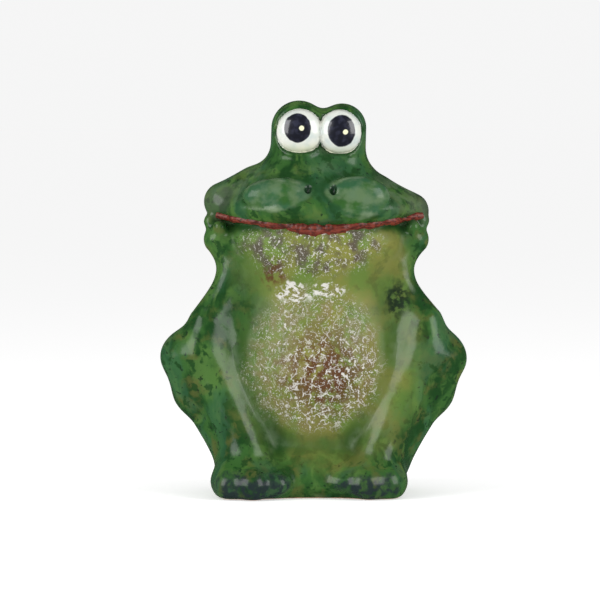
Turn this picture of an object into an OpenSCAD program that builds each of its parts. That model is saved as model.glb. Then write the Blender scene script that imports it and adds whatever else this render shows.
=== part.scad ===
// Seated ceramic frog money bank, glazed, chin in its hands and elbows on its knees.
// The body is slip-cast and hollow, and the limbs, feet, eyes and lips are formed apart and luted on.
// +Z is up, the face looks along -Y, and the origin lies on the table under the middle of the body.

/* [Shell] */
// Thickness of the cast ceramic wall
wall = 5; // [4:0.5:6]
// Depth at which the front and back halves of the body are joined
seam_y = 4; // [0:0.5:8]
// Height of the mouth, where the head meets the body
mouth_z = 123; // [120:0.5:126]
// Facets around each rounded form
facets = 28; // [20:2:32]

/* [Trunk] */
// Middle of the belly dome
belly_at = [3, -3, 56]; // [-60:0.5:120]
// Half sizes of the belly dome
belly_half = [34, 31, 38]; // [20:0.5:60]
// Middle of the rump
rump_at = [0, 15, 42]; // [-60:0.5:120]
// Half sizes of the rump
rump_half = [44, 31, 43]; // [20:0.5:60]
// Middle of the chest
chest_at = [1.5, 2, 92]; // [-60:0.5:120]
// Half sizes of the chest
chest_half = [34, 26, 34]; // [20:0.5:60]
// Middle of the flanks
flank_at = [0, 4, 56]; // [-60:0.5:120]
// Half sizes of the flanks
flank_half = [52, 24, 46]; // [20:0.5:60]
// Middle of the seat
seat_at = [-1, 2, 8]; // [-60:0.5:120]
// Half sizes of the seat
seat_half = [42, 37, 20]; // [12:0.5:60]
// Middle of the lower jaw
jaw_at = [2, 0, 115]; // [-60:0.5:140]
// Half sizes of the lower jaw
jaw_half = [44, 30, 15]; // [12:0.5:60]

/* [Head] */
// Middle of the upper jaw
muzzle_at = [2, -2, 129]; // [-60:0.5:160]
// Half sizes of the upper jaw
muzzle_half = [46, 34, 12]; // [10:0.5:60]
// Middle of the crown
crown_at = [-1, 1, 137]; // [-60:0.5:160]
// Half sizes of the crown
crown_half = [33.5, 28, 16.5]; // [10:0.5:60]
// Left corner of the mouth
corner_left = [-40.5, -4, 132]; // [-60:0.5:160]
// Right corner of the mouth
corner_right = [44, -4, 127.5]; // [-60:0.5:160]
// Radius of the mouth's corners
corner_r = 8; // [6:0.5:10]
// Half sizes of each nose pad
pad_half = [14.5, 8, 9]; // [5:0.5:20]
// Middle of the left nose pad
pad_left = [-13.5, -25, 136]; // [-60:0.5:160]
// Middle of the right nose pad
pad_right = [19.5, -25, 135.5]; // [-60:0.5:160]
// Thickness of the raised red lip
lip_d = 4; // [3:0.5:6]

/* [Eyes] */
// Middle of the left eyeball
eye_left_at = [-6.8, -14.6, 163.8]; // [-60:0.1:180]
// Middle of the right eyeball
eye_right_at = [12.2, -14.2, 163.6]; // [-60:0.1:180]
// Half sizes of the left eyeball
eye_left_half = [10, 6.6, 9.9]; // [6:0.1:12]
// Half sizes of the right eyeball
eye_right_half = [9.4, 6.6, 9.7]; // [6:0.1:12]
// Radius of the left hood at its foot and at its top
hood_left_r = [13, 12.6]; // [11:0.1:14]
// Radius of the right hood at its foot and at its top
hood_right_r = [12, 11]; // [10:0.1:13]
// Height of the middle of the hoods' round tops
hood_z = 165; // [160:0.1:170]

/* [Limbs] */
// Half the width over the knees
knee_x = 58.6; // [54:0.5:62]
// Height of the knees
knee_z = 61; // [54:0.5:66]
// Half the width over the wrists
wrist_x = 36.5; // [34:0.5:40]
// Half the width over the ankles
ankle_x = 32; // [30:0.5:36]
// How far the feet stand off the middle
feet_shift = -2; // [-4:0.5:0]

/* [Bank fittings] */
// Length and width of the coin slot
slot_size = [36, 4.8]; // [4.5:0.1:40]
// Height of the coin slot
slot_z = 96; // [90:0.5:100]
// Radius of the disc that closes the base
base_r = 27; // [24:0.5:28]
// Height of the recess under the base disc
recess_h = 4; // [3.5:0.5:5]
// Radius of the hole for the stopper
stopper_hole_r = 15; // [12:0.5:18]
// Gap around the stopper's plug
stopper_gap = 0.06; // [0.03:0.01:0.1]
// Radius and thickness of the stopper's flange
flange_size = [19, 2.5]; // [2:0.5:22]

/* [Hidden] */
LEFT = -1;
RIGHT = 1;
far = 400;
limb_facets = 18;
fine_facets = 24;
turned_facets = 96;
// Height of the cavity's floor, on top of the base disc
floor_z = recess_h + wall;
// Height and half sizes of the passage from the body's hollow to the head's
throat_h = 14;
throat_half = [35, 22];
// Where each hood starts, behind and above the muzzle, and how far its top leans out
hood_foot = [-6, 148];
hood_top_y = -7.2;
// How far the stopper's flange hangs below the disc, and how long and narrow its nose is
flange_drop = 0.3;
nose_h = 3;
nose_taper = 2;
moulded = "olivedrab";
mottled = "forestgreen";

// An ellipsoid with its middle at c and half sizes r.
module ball(c, r, n = facets) translate(c) scale(r) sphere(1, $fn = n);

// A rounded bar from a to b that tapers from radius ra to rb.
module bar(a, b, ra, rb, n = limb_facets) hull() {
    translate(a) sphere(ra, $fn = n);
    translate(b) sphere(rb, $fn = n);
}

module above(z) translate([-far / 2, -far / 2, z]) cube(far);
module below(z) translate([-far / 2, -far / 2, z - far]) cube(far);
module behind(y) translate([-far / 2, y, -far / 2]) cube(far);

// The trunk, shrunk by inset all round. It runs up into the head, so the two cavities join.
module trunk(inset = 0) {
    d = [inset, inset, inset];
    hull() {
        ball(belly_at, belly_half - d);
        ball(seat_at, seat_half - d);
    }
    ball(rump_at, rump_half - d);
    ball(flank_at, flank_half - d);
    hull() {
        ball(chest_at, chest_half - d);
        ball(jaw_at, jaw_half - d);
    }
}

// The head above the lip, without its eyes, shrunk by inset all round.
module head(inset = 0) {
    d = [inset, inset, inset];
    ball(muzzle_at, muzzle_half - d);
    ball(crown_at, crown_half - d);
    if (inset == 0) {
        bar([-27, -3, 136], corner_left, corner_r + 1, corner_r);
        bar([30, -3, 133], corner_right, corner_r + 1, corner_r - 0.5);
        ball(pad_left, pad_half, fine_facets);
        ball(pad_right, pad_half, fine_facets);
        hood(eye_left_at[0], hood_left_r);
        hood(eye_right_at[0] + 0.7, hood_right_r);
    }
}

module hood(x, r)
    bar([x, hood_foot[0], hood_foot[1]], [x, hood_top_y, hood_z], r[0], r[1], fine_facets);

// resize([0, 0, 0]) leaves a form's size as it is and makes it one mesh, here and in the pieces below.
module eye_left() color("ivory") resize([0, 0, 0]) ball(eye_left_at, eye_left_half, fine_facets);

module eye_right() color("ivory") resize([0, 0, 0]) difference() {
    ball(eye_right_at, eye_right_half, fine_facets);
    ball(eye_left_at, eye_left_half, fine_facets);
}

// The passage between the body's hollow and the head's.
module throat_outline()
    translate([muzzle_at[0], muzzle_at[1]]) scale(throat_half) circle(1, $fn = facets);

// What is hollow inside the body: the coin chamber, open up into the head and down to the base disc.
module cavity() {
    intersection() {
        union() {
            trunk(wall);
            head(wall);
            translate([0, 0, mouth_z - throat_h / 2]) linear_extrude(throat_h) throat_outline();
        }
        above(floor_z);
    }
    translate([0, 0, -1]) cylinder(h = floor_z + 2, r = base_r, $fn = 64);
}

module coin_slot() translate([chest_at[0] - slot_size[0] / 2, 0, slot_z - slot_size[1] / 2])
    cube([slot_size[0], far, slot_size[1]]);

module body_shell() difference() {
    intersection() {
        trunk();
        above(0);
        below(mouth_z);
    }
    cavity();
}

module belly_shell() color(moulded) resize([0, 0, 0]) difference() {
    body_shell();
    behind(seam_y);
}

module back_shell() color(mottled) resize([0, 0, 0]) difference() {
    intersection() {
        body_shell();
        behind(seam_y);
    }
    coin_slot();
}

module head_shell() color(mottled) resize([0, 0, 0]) difference() {
    intersection() {
        head();
        above(mouth_z);
    }
    cavity();
    ball(eye_left_at, eye_left_half, fine_facets);
    ball(eye_right_at, eye_right_half, fine_facets);
}

// A point on the mouth's curve, t running from 0 at the left corner to 180 at the right.
function lip_point(t) = [
    muzzle_at[0] - (muzzle_half[0] - 2) * cos(t),
    muzzle_at[1] - (muzzle_half[1] - 3) * sin(t),
    mouth_z + 1 - 2 * pow(sin(t), 6)];

module lip_form() for (t = [12:12:156]) hull() for (s = [t, t + 12])
    translate(lip_point(s)) sphere(d = lip_d, $fn = 14);

module lip_bead() color("firebrick") resize([0, 0, 0]) difference() {
    lip_form();
    trunk();
    head();
}

module hand_form(side) {
    palm = [side * (wrist_x + 6.3), -9, 115];
    bar(palm, [side * (wrist_x + 0.5), -10, 105], 7, 5.5, 16);
    for (finger = [[7, -2, 121], [8, -8.5, 121.5], [5, -14.5, 120]])
        bar(palm + [-side, -1, -3], [side * (wrist_x + finger[0]), finger[1], finger[2]], 4, 3, 14);
}

module arm_form(side) {
    wrist = [side * wrist_x, -10, 101];
    elbow = [side * (knee_x - 10), -14, knee_z + 17];
    bar(wrist, elbow, 5.6, 9);
    bar(wrist + [-7 * side, 8, -6], elbow + [-6 * side, 8, -4], 9, 11);
}

module thigh_form(side) {
    knee = [side * knee_x, -10, knee_z];
    calf = [side * (knee_x - 8), -8, knee_z - 18];
    heel = [side * (ankle_x + 3), -12, 18];
    haunch = [side * ankle_x, 15, 34];
    hull() {
        translate(knee) sphere(9.2, $fn = 20);
        translate(calf) sphere(11.5, $fn = 20);
        translate(haunch) sphere(15, $fn = 20);
    }
    bar(calf, heel, 11.5, 9.5);
}

module shin_form(side) {
    knee = [side * (knee_x - 8.6), -17, knee_z + 2];
    bar(knee, [side * (ankle_x - 2.5), -25, 21], 8, 7.5);
    bar(knee, [side * (knee_x - 1.6), -12, knee_z + 1], 8, 8.7);
}

module foot_form(side) translate([feet_shift, 0, 0]) {
    bar([side * 31.5, -20, 17], [side * 31, -26, 10], 9.5, 10);
    reach = side == LEFT ? -1.5 : 1.5;
    for (toe = [[36.6, -34, 6.8], [25.5, -37.3, 7.6], [14.5, -34.5, 6.2]])
        bar([side * (25 + (toe[0] - 25) * 0.8), -21, 7], [side * toe[0], toe[1] + reach, 6.4], 8.6, toe[2]);
}

module arm(side) color(mottled) resize([0, 0, 0]) difference() {
    arm_form(side);
    trunk();
    head();
    hand_form(side);
}

module hand(side) color(mottled) resize([0, 0, 0]) difference() {
    hand_form(side);
    trunk();
    head();
    lip_form();
}

module thigh(side) color(mottled) resize([0, 0, 0]) difference() {
    thigh_form(side);
    trunk();
    arm_form(side);
    below(0);
}

module shin(side) color(mottled) resize([0, 0, 0]) difference() {
    shin_form(side);
    trunk();
    arm_form(side);
    thigh_form(side);
}

module foot(side) color(mottled) resize([0, 0, 0]) difference() {
    foot_form(side);
    trunk();
    thigh_form(side);
    shin_form(side);
    below(0);
}

// The disc is thrown apart and luted into the base, with a true hole for the stopper.
module base_disc() color("peru") translate([0, 0, recess_h]) difference() {
    cylinder(h = wall, r = base_r - 0.1, $fn = turned_facets);
    translate([0, 0, -1]) cylinder(h = wall + 2, r = stopper_hole_r, $fn = turned_facets);
}

// The rubber stopper: a flange under the disc and a plug with a tapered nose.
module stopper() {
    plug_r = stopper_hole_r - stopper_gap;
    top = recess_h - flange_drop;
    nose_z = floor_z + nose_h;
    color("dimgray") rotate_extrude($fn = turned_facets) polygon([
        [0, top - flange_size[1]], [flange_size[0], top - flange_size[1]], [flange_size[0], top],
        [plug_r, top], [plug_r, floor_z], [plug_r - nose_taper, nose_z], [0, nose_z]]);
}

belly_shell();
back_shell();
head_shell();
eye_left();
eye_right();
lip_bead();
arm(LEFT);  // arm_left
arm(RIGHT);  // arm_right
hand(LEFT);  // hand_left
hand(RIGHT);  // hand_right
thigh(LEFT);  // thigh_left
thigh(RIGHT);  // thigh_right
shin(LEFT);  // shin_left
shin(RIGHT);  // shin_right
foot(LEFT);  // foot_left
foot(RIGHT);  // foot_right
base_disc();
stopper();
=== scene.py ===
"""A glazed ceramic frog money bank, seated with its chin in its hands.

The ceramic is one smooth skin, blended from rounded forms, cut along its creases into the
pieces that were formed apart and luted together, and given a wall.
"""
import logging
import math
from dataclasses import dataclass, field
from enum import Enum

import bmesh
import bpy
import numpy as np
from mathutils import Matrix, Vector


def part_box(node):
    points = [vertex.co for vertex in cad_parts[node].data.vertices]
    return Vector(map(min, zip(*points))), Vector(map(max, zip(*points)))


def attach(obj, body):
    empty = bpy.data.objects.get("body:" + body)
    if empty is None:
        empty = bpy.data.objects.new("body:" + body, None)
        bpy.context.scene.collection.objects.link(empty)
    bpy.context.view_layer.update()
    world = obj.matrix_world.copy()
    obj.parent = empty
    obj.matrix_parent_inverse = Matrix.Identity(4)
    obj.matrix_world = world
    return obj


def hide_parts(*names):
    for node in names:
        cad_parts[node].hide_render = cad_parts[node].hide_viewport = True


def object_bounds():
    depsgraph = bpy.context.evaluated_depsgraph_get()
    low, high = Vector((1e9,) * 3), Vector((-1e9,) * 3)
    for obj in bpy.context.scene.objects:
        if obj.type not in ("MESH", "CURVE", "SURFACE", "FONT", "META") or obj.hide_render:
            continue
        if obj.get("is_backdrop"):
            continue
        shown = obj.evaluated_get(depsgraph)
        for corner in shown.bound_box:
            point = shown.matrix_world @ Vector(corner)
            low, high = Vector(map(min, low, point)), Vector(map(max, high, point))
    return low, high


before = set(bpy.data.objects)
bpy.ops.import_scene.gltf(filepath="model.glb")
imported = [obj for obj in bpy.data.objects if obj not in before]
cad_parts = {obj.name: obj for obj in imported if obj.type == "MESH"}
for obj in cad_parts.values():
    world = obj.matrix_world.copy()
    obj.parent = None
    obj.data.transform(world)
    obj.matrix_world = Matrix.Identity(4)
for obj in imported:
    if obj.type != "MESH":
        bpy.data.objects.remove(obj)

import openvdb
from mathutils import Vector

LOG = logging.getLogger("frog")
CAD_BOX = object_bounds()
MM = 0.001
FULL_PITCH = 1.0
FIGURE = "figure"
STOPPER = "stopper"
Point = tuple[float, float, float]
Array = np.ndarray


class Side(Enum):
    """A side of the frog, as a viewer who faces it sees it."""

    LEFT = -1
    RIGHT = 1

    @property
    def word(self) -> str:
        """The side's name, as it stands in a piece's name."""
        return self.name.lower()


# ---------------------------------------------------------------- rounded forms, in millimetres


def melt(a: Array, b: Array, reach: float | Array) -> Array:
    """Joins two distance fields with a fillet.

    Args:
        a: The first field.
        b: The second field.
        reach: How far apart the fields still blend.

    Returns:
        The field of the two forms grown together.
    """
    near = np.maximum(reach - np.abs(a - b), 0) / reach
    return np.minimum(a, b) - near * near * reach * 0.25


def carve(a: Array, b: Array, reach: float) -> Array:
    """Returns field a with the form b taken out of it, the edge eased by reach."""
    return -melt(-a, b, reach)


def ramp(value: Array, low: float, high: float) -> Array:
    """Returns 0 below low, 1 above high and a smooth step between."""
    t = np.clip((value - low) / (high - low), 0, 1)
    return t * t * (3 - 2 * t)


@dataclass(frozen=True)
class Ball:
    """An ellipsoid."""

    middle: Point
    half: Point
    lean: float = 0.0

    def distance(self, at: Array) -> Array:
        """Returns the distance of each point from the surface, negative inside.

        Args:
            at: The points, in millimetres, one to a row.

        Returns:
            The distance of each point from the surface, negative inside.
        """
        q = at - np.array(self.middle)
        if self.lean:
            c, s = math.cos(math.radians(self.lean)), math.sin(math.radians(self.lean))
            q = np.stack([q[:, 0], c * q[:, 1] + s * q[:, 2], c * q[:, 2] - s * q[:, 1]], axis=1)
        half = np.array(self.half)
        near = np.linalg.norm(q / half, axis=1)
        slope = np.linalg.norm(q / (half * half), axis=1)
        return near * (near - 1) / np.maximum(slope, 1e-9)


@dataclass(frozen=True)
class Bar:
    """A rounded bar that tapers from one radius to another."""

    start: Point
    end: Point
    start_r: float
    end_r: float

    def distance(self, at: Array) -> Array:
        """Returns the distance of each point from the surface, negative inside.

        Args:
            at: The points, in millimetres, one to a row.

        Returns:
            The distance of each point from the surface, negative inside.
        """
        a = np.array(self.start)
        run = np.array(self.end) - a
        t = np.clip(((at - a) @ run) / (run @ run), 0, 1)
        gap = at - a - t[:, None] * run
        return np.sqrt((gap * gap).sum(axis=1)) - (self.start_r + t * (self.end_r - self.start_r))


def grown(forms: list[Ball | Bar], at: Array, reach: float) -> Array:
    """Returns the field of several forms grown together, one after the other.

    Args:
        forms: The forms to join.
        at: The points, in millimetres, one to a row.
        reach: How far apart two forms still blend.

    Returns:
        The joined field at each point.
    """
    total = forms[0].distance(at)
    for form in forms[1:]:
        total = melt(total, form.distance(at), reach)
    return total


# ---------------------------------------------------------------- the frog's own forms


@dataclass(frozen=True)
class Trunk:
    """The hollow body from the seat to the lower jaw."""

    belly: Ball = Ball((3, -3, 56), (34, 31, 38))
    seat: Ball = Ball((-1, 2, 8), (42, 37, 20))
    rump: Ball = Ball((0, 15, 42), (44, 31, 43))
    chest: Ball = Ball((1.5, 2, 92), (34, 26, 34))
    flank: Ball = Ball((0, 4, 56), (52, 24, 46))
    jaw: Ball = Ball((2, 0, 115), (44, 30, 15))
    body_reach: float = 12
    jaw_reach: float = 20

    def distance(self, at: Array) -> Array:
        """Returns the field of the trunk.

        Args:
            at: The points, in millimetres, one to a row.

        Returns:
            The distance of each point from the surface, negative inside.
        """
        body = grown([self.flank, self.rump, self.seat, self.belly, self.chest], at, self.body_reach)
        return melt(body, self.jaw.distance(at), self.jaw_reach)


@dataclass(frozen=True)
class Head:
    """The upper jaw, the crown, the nose pads and the hoods over the eyes."""

    muzzle: Ball = Ball((2, -2, 129), (46, 34, 12))
    crown: Ball = Ball((-1, 1, 137), (33.5, 28, 16.5))
    left_corner: Bar = Bar((-27, -3, 137.4), (-40.6, -4, 131.8), 9.2, 8.8)
    right_corner: Bar = Bar((30, -3, 133), (44, -4, 127.4), 8.5, 7.9)
    left_pad: Ball = Ball((-15.8, -25, 134.7), (16, 8, 8), 12)
    right_pad: Ball = Ball((18.9, -25, 134), (15.2, 8, 9.6), 12)
    left_hood: Bar = Bar((-6.8, -3.5, 148), (-6.5, -7, 164.8), 12.8, 12.5)
    right_hood: Bar = Bar((12.3, -4, 148), (12.8, -7.5, 165.1), 11, 10.9)
    nostril_places: tuple[tuple[float, float], ...] = ((-2.5, 137.6), (8.7, 137.4))
    nostril_half: Point = (1.2, 1.6, 2.5)
    nostril_sink: float = 0.5
    crown_reach: float = 10
    corner_reach: float = 5
    pad_reach: float = 1.8
    hood_reach: float = 6
    brow_reach: float = 8
    pad_groove: float = 0.35
    pad_groove_half: float = 1.3

    def distance(self, at: Array) -> Array:
        """Returns the field of the head, with no eyes.

        Args:
            at: The points, in millimetres, one to a row.

        Returns:
            The distance of each point from the surface, negative inside.
        """
        skull = melt(self.muzzle.distance(at), self.crown.distance(at), self.crown_reach)
        skull = melt(skull, self.left_corner.distance(at), self.corner_reach)
        skull = melt(skull, self.right_corner.distance(at), self.corner_reach)
        pads = np.minimum(self.left_pad.distance(at), self.right_pad.distance(at))
        groove = self.pad_groove * np.maximum(1 - np.abs(skull - pads) / self.pad_groove_half, 0)
        skull = melt(skull, pads, self.pad_reach) + groove
        hoods = melt(self.left_hood.distance(at), self.right_hood.distance(at), self.hood_reach)
        return melt(skull, hoods, self.brow_reach)


@dataclass(frozen=True)
class Eye:
    """One domed eye, from its own box in the frame."""

    side: Side
    bulge: Ball

    def distance(self, at: Array) -> Array:
        """Returns the field of the eye."""
        return self.bulge.distance(at)


@dataclass(frozen=True)
class Hand:
    """A palm with three fingers that cup the corner of the jaw."""

    side: Side
    wrist_x: float = 36.2

    def distance(self, at: Array) -> Array:
        """Returns the field of the hand.

        Args:
            at: The points, in millimetres, one to a row.

        Returns:
            The distance of each point from the surface, negative inside.
        """
        s = self.side.value
        off = 2.4 if self.side is Side.RIGHT else 0.0
        palm = (off + s * (self.wrist_x + 6.0), -9, 115)
        total = Bar(palm, (off + s * self.wrist_x, -10, 106.2), 7.2, 5.6).distance(at)
        for out, forward, tall in ((8.4, -2, 123), (10.2, -8.5, 123), (6.0, -14.5, 120.5)):
            tip = (off + s * (self.wrist_x + out), forward, tall)
            root = (palm[0] - s, palm[1] - 1, palm[2] - 3)
            total = melt(total, Bar(root, tip, 4, 3).distance(at), 1.2)
        return total


@dataclass(frozen=True)
class Arm:
    """A forearm that stands on its knee."""

    side: Side

    def distance(self, at: Array) -> Array:
        """Returns the field of the forearm.

        Args:
            at: The points, in millimetres, one to a row.

        Returns:
            The distance of each point from the surface, negative inside.
        """
        s = self.side.value
        off = 1.4 if self.side is Side.RIGHT else 0.8
        wrist = (s * 35.4, -10, 101)
        elbow = (off + s * 48, -14, 78)
        fore = Bar(wrist, elbow, 4.3, 8.6)
        upper = Bar((s * 29, -2, 95), (s * 42, -6, 74), 8, 11)
        return melt(fore.distance(at), upper.distance(at), 6)


@dataclass(frozen=True)
class Thigh:
    """The folded thigh and calf, from the knee down to the heel."""

    side: Side

    def distance(self, at: Array) -> Array:
        """Returns the field of the thigh.

        Args:
            at: The points, in millimetres, one to a row.

        Returns:
            The distance of each point from the surface, negative inside.
        """
        s = self.side.value
        rise = 1.2 if self.side is Side.LEFT else 0.0
        knee, calf = (s * 58.6, -10, 61 + rise), (s * 52, -8, 47)
        heel, haunch = (s * 35.8, -12, 18), (s * 32, 15, 34)
        forms = [Bar(knee, calf, 8.4, 9.5), Bar(calf, heel, 9.5, 7.8), Bar(calf, haunch, 9, 14),
                 Bar((s * 40, -6, 50), (s * 32, -10, 28), 13, 11)]
        return grown(forms, at, 6)


@dataclass(frozen=True)
class Shin:
    """The shin's long ridge, in front of the thigh."""

    side: Side

    def distance(self, at: Array) -> Array:
        """Returns the field of the shin.

        Args:
            at: The points, in millimetres, one to a row.

        Returns:
            The distance of each point from the surface, negative inside.
        """
        s = self.side.value
        knee = (s * 50, -17.6, 63.5)
        ridge = Bar(knee, (s * 29.5, -25.6, 21), 6.6, 5.8)
        cap = Bar(knee, (s * 57, -12, 62.5), 8, 7.8)
        return melt(ridge.distance(at), cap.distance(at), 6)


@dataclass(frozen=True)
class Foot:
    """A flat foot with three toes."""

    side: Side
    shift: float = -2.0

    def distance(self, at: Array) -> Array:
        """Returns the field of the foot.

        Args:
            at: The points, in millimetres, one to a row.

        Returns:
            The distance of each point from the surface, negative inside.
        """
        s = self.side.value
        reach = -1.5 if self.side is Side.LEFT else 1.5
        total = Bar((self.shift + s * 31.5, -20, 17), (self.shift + s * 31, -26, 10), 9, 9.5).distance(at)
        slab = Ball((self.shift + s * 26.4, -24, 7), (17.2, 15.5, 10.5))
        total = melt(total, slab.distance(at), 6)
        for x, y, r in ((35.4, -34, 6.6), (25, -37.3, 7.4), (14.5, -34.5, 6)):
            root = (self.shift + s * (25 + (x - 25) * 0.8), -22, 7)
            toe = Bar(root, (self.shift + s * x, y + reach, 6.4), 8, r)
            total = melt(total, toe.distance(at), 4.5)
        return total


@dataclass(frozen=True)
class BaseHole:
    """The round hole in the seat that the base disc closes."""

    radius: float
    top: float

    def distance(self, at: Array) -> Array:
        """Returns the field of the hole."""
        across = np.hypot(at[:, 0], at[:, 1]) - self.radius
        return np.maximum(across, at[:, 2] - self.top)


@dataclass(frozen=True)
class CoinSlot:
    """The slot in the upper back that coins go in by."""

    middle: Point = (1.5, 25, 96)
    long: float = 36.0
    wide: float = 4.8
    deep: float = 9.0

    def distance(self, at: Array) -> Array:
        """Returns the field of the slot, a box with rounded ends.

        Args:
            at: The points, in millimetres, one to a row.

        Returns:
            The distance of each point from the surface, negative inside.
        """
        q = np.abs(at - np.array(self.middle))
        run = np.maximum(q[:, 0] - (self.long - self.wide) / 2, 0)
        across = np.hypot(run, q[:, 2]) - self.wide / 2
        return np.maximum(across, q[:, 1] - self.deep)


# ---------------------------------------------------------------- the skin


@dataclass
class Figure:
    """The whole ceramic figure as one blended field, with the names of its pieces."""

    trunk: Trunk
    head: Head
    eyes: list[Eye]
    limbs: dict[str, Hand | Arm | Thigh | Shin | Foot]
    hole: BaseHole
    slot: CoinSlot
    nostrils: list[Ball] = field(default_factory=list)
    arch: Ball = Ball((2, -44.5, -1), (22, 15, 7))
    limb_reach: dict[str, float] = field(default_factory=lambda: {
        "hand": 3.5, "arm": 12.0, "thigh": 12.0, "shin": 12.0, "foot": 6.0})
    seam_y: float = 4.0
    neck_reach: float = 3.0
    nape_reach: float = 11.0
    nape_y: float = 24.0
    lid_height: float = 0.55
    lid_gap: float = 1.3
    eye_groove: float = 0.3
    eye_groove_half: float = 1.4
    sole_ease: float = 1.6
    mouth_ease: float = 1.6

    def forms(self, at: Array) -> dict[str, Array]:
        """Returns each piece's own field, before blending.

        Args:
            at: The points, in millimetres, one to a row.

        Returns:
            The fields, by the piece's name.
        """
        fields = {"trunk": self.trunk.distance(at), "head": self.head.distance(at)}
        for name, limb in self.limbs.items():
            fields[name] = limb.distance(at)
        for eye in self.eyes:
            fields[f"eye_{eye.side.word}"] = eye.distance(at)
        return fields

    def solid(self, at: Array) -> Array:
        """Returns the field of the blended body, with neither hole nor slot.

        Args:
            at: The points, in millimetres, one to a row.

        Returns:
            The distance of each point from the surface, negative inside.
        """
        fields = self.forms(at)
        eye = np.minimum(*[fields[f"eye_{e.side.word}"] for e in self.eyes])
        lid = self.lid_height * np.exp(-(eye - self.lid_gap) ** 2)
        nape = self.nape_reach * ramp(at[:, 1], 0, self.nape_y)
        total = melt(fields["trunk"], fields["head"] - lid, self.neck_reach + nape)
        for name in self.limbs:
            total = melt(total, fields[name], self.limb_reach[name.split("_")[0]])
        for nostril in self.nostrils:
            total = carve(total, nostril.distance(at), 1.2)
        groove = self.eye_groove * np.maximum(1 - np.abs(total - eye) / self.eye_groove_half, 0)
        raised = carve(np.minimum(total, eye) + groove, self.arch.distance(at), 2.5)
        return carve(raised, at[:, 2], self.sole_ease)

    def distance(self, at: Array) -> Array:
        """Returns the field of the finished skin, hole and slot included."""
        body = carve(self.solid(at), self.hole.distance(at), 1.0)
        return carve(body, self.slot.distance(at), self.mouth_ease)

    def slope(self, at: Array, step: float) -> Array:
        """Returns the field's unit gradient, measured over a step.

        Args:
            at: The points, in millimetres, one to a row.
            step: How far to each side the field is measured.

        Returns:
            One unit vector for each point.
        """
        grad = np.empty_like(at)
        for axis in range(3):
            move = np.zeros(3)
            move[axis] = step
            grad[:, axis] = self.distance(at + move) - self.distance(at - move)
        return grad / np.maximum(np.linalg.norm(grad, axis=1, keepdims=True), 1e-9)

    def surface_y(self, x: float, z: float) -> float:
        """Returns the y at which a line along +Y from the front meets the body.

        Args:
            x: Where the line is, across the frog.
            z: How high the line is.

        Returns:
            The y, in millimetres.
        """
        y = -60.0
        for _ in range(80):
            y += float(self.solid(np.array([[x, y, z]]))[0]) * 0.8
        return y


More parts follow.
